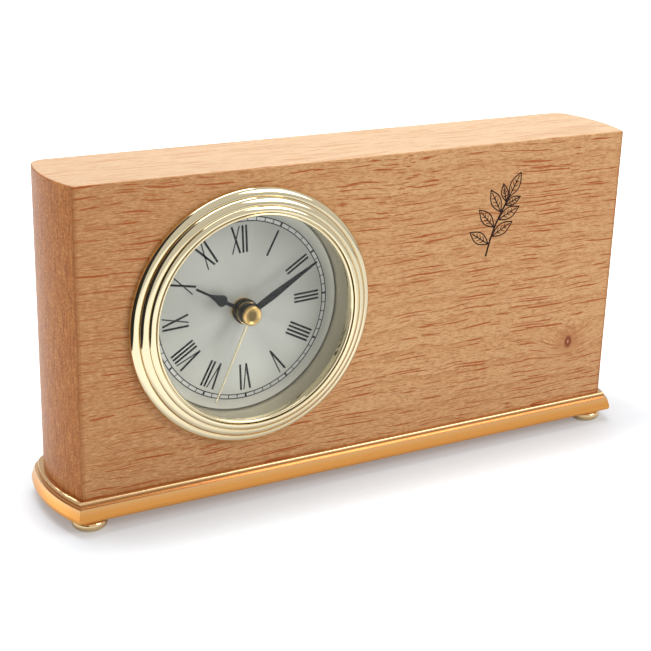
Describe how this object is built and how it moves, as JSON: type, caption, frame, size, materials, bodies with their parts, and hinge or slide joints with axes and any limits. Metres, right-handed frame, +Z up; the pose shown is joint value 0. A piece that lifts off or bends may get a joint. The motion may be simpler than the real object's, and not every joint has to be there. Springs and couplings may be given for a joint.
{
  "type": "desk clock",
  "caption": "Bow-ended wooden desk clock on a gold base plate with bun feet; round quartz insert with a stepped gold bezel, Roman dial and spade hands.",
  "frame": {"origin": "on the surface that the feet stand on, under the middle of the clock's overall box", "axes": "+Z up, +Y towards the back (the dial faces -Y), +X to the right as seen from the front"},
  "size_m": [0.2314, 0.0484, 0.1165],
  "materials": {
    "case_wood": "satin lacquer",
    "base_gold": "polished gold plate",
    "screw_steel": "zinc plated",
    "bezel_gold": "polished champagne gold",
    "clear_glass": "clear polished",
    "black_rubber": "matte",
    "pan_grey": "satin",
    "dial_silver": "fine brushed",
    "housing_black": "fine texture",
    "plain_brass": "turned",
    "gold_leaf_hand": "polished",
    "hand_black": "semi gloss",
    "gear_white": "moulded",
    "arbor_brass": "turned",
    "knob_red": "moulded",
    "magnet": "sintered",
    "core_steel": "annealed",
    "bobbin_nylon": "moulded",
    "copper_wire": "enamelled",
    "board_green": "solder mask",
    "chip_epoxy": "gloss",
    "nickel": "nickel plated",
    "cell_sleeve": "satin sleeve"
  },
  "bodies": {
    "case": {"wood_case": "case_wood", "base_plate": "base_gold", "base_screws": "screw_steel", "bun_feet": "base_gold", "foot_screws": "screw_steel"},
    "insert": {"bezel": "bezel_gold", "glass_lens": "clear_glass", "glass_gasket": "black_rubber", "lip_ring": "bezel_gold", "dial_pan": "pan_grey", "dial": "dial_silver", "friction_band": "black_rubber", "movement_front_shell": "housing_black", "movement_back_cover": "housing_black", "threaded_bushing": "plain_brass", "bushing_nut": "plain_brass", "isolation_pad": "black_rubber", "train_bridge": "housing_black", "stator": "core_steel", "coil_core": "core_steel", "coil_bobbin": "bobbin_nylon", "coil_winding": "copper_wire", "circuit_board": "board_green", "clock_chip": "chip_epoxy", "quartz_crystal": "nickel", "battery_contact_negative": "nickel", "battery_contact_positive": "nickel", "pan_screws": "screw_steel", "cover_screws": "screw_steel"},
    "battery": {"battery_cell": "cell_sleeve"},
    "minute_group": {"minute_hand": "hand_black", "minute_arbor": "arbor_brass"},
    "hour_group": {"hour_hand": "hand_black", "hour_hand_collet": "plain_brass", "hour_wheel": "gear_white"},
    "minute_work": {"minute_work_wheel": "gear_white"},
    "setting": {"setting_arbor": "gear_white", "setting_knob": "knob_red"},
    "second_group": {"second_hand": "gold_leaf_hand", "second_hand_cap": "gold_leaf_hand", "second_wheel": "gear_white"},
    "centre_rim": {"centre_wheel_rim": "gear_white"},
    "third": {"third_wheel": "gear_white"},
    "intermediate": {"intermediate_wheel": "gear_white"},
    "rotor": {"rotor_arbor": "gear_white", "rotor_magnet": "magnet"}
  },
  "joints": [
    {"name": "insert_slide", "type": "slide", "parent": "case", "child": "insert", "axis": [0, -1, 0], "range_m": [0, 0.034]},
    {"name": "battery_slide", "type": "slide", "parent": "insert", "child": "battery", "axis": [0, 1, 0], "range_m": [0, 0.042]},
    {"name": "minute_turn", "type": "hinge", "parent": "insert", "child": "minute_group", "pos_m": [-0.0466, 0, 0.0661], "axis": [0, 1, 0], "continuous": true},
    {"name": "hour_turn", "type": "hinge", "parent": "insert", "child": "hour_group", "pos_m": [-0.0466, 0, 0.0661], "axis": [0, 1, 0], "continuous": true},
    {"name": "minute_work_turn", "type": "hinge", "parent": "insert", "child": "minute_work", "pos_m": [-0.05353, 0, 0.0701], "axis": [0, 1, 0], "continuous": true},
    {"name": "setting_turn", "type": "hinge", "parent": "insert", "child": "setting", "pos_m": [-0.05947, 0, 0.07545], "axis": [0, 1, 0], "continuous": true},
    {"name": "second_turn", "type": "hinge", "parent": "insert", "child": "second_group", "pos_m": [-0.0466, 0, 0.0661], "axis": [0, 1, 0], "continuous": true},
    {"name": "centre_rim_turn", "type": "hinge", "parent": "insert", "child": "centre_rim", "pos_m": [-0.0466, 0, 0.0661], "axis": [0, 1, 0], "continuous": true},
    {"name": "third_turn", "type": "hinge", "parent": "insert", "child": "third", "pos_m": [-0.0415, 0, 0.07493], "axis": [0, 1, 0], "continuous": true},
    {"name": "intermediate_turn", "type": "hinge", "parent": "insert", "child": "intermediate", "pos_m": [-0.03774, 0, 0.06766], "axis": [0, 1, 0], "continuous": true},
    {"name": "rotor_turn", "type": "hinge", "parent": "insert", "child": "rotor", "pos_m": [-0.03074, 0, 0.06766], "axis": [0, 1, 0], "continuous": true}
  ],
  "couplings": [
    {"joint": "hour_turn", "follows": "minute_turn", "ratio": 0.083333},
    {"joint": "minute_work_turn", "follows": "minute_turn", "ratio": -0.33333},
    {"joint": "setting_turn", "follows": "minute_turn", "ratio": 1},
    {"joint": "third_turn", "follows": "second_turn", "ratio": -0.125},
    {"joint": "centre_rim_turn", "follows": "second_turn", "ratio": 0.016667},
    {"joint": "intermediate_turn", "follows": "second_turn", "ratio": -5},
    {"joint": "rotor_turn", "follows": "second_turn", "ratio": 30}
  ]
}
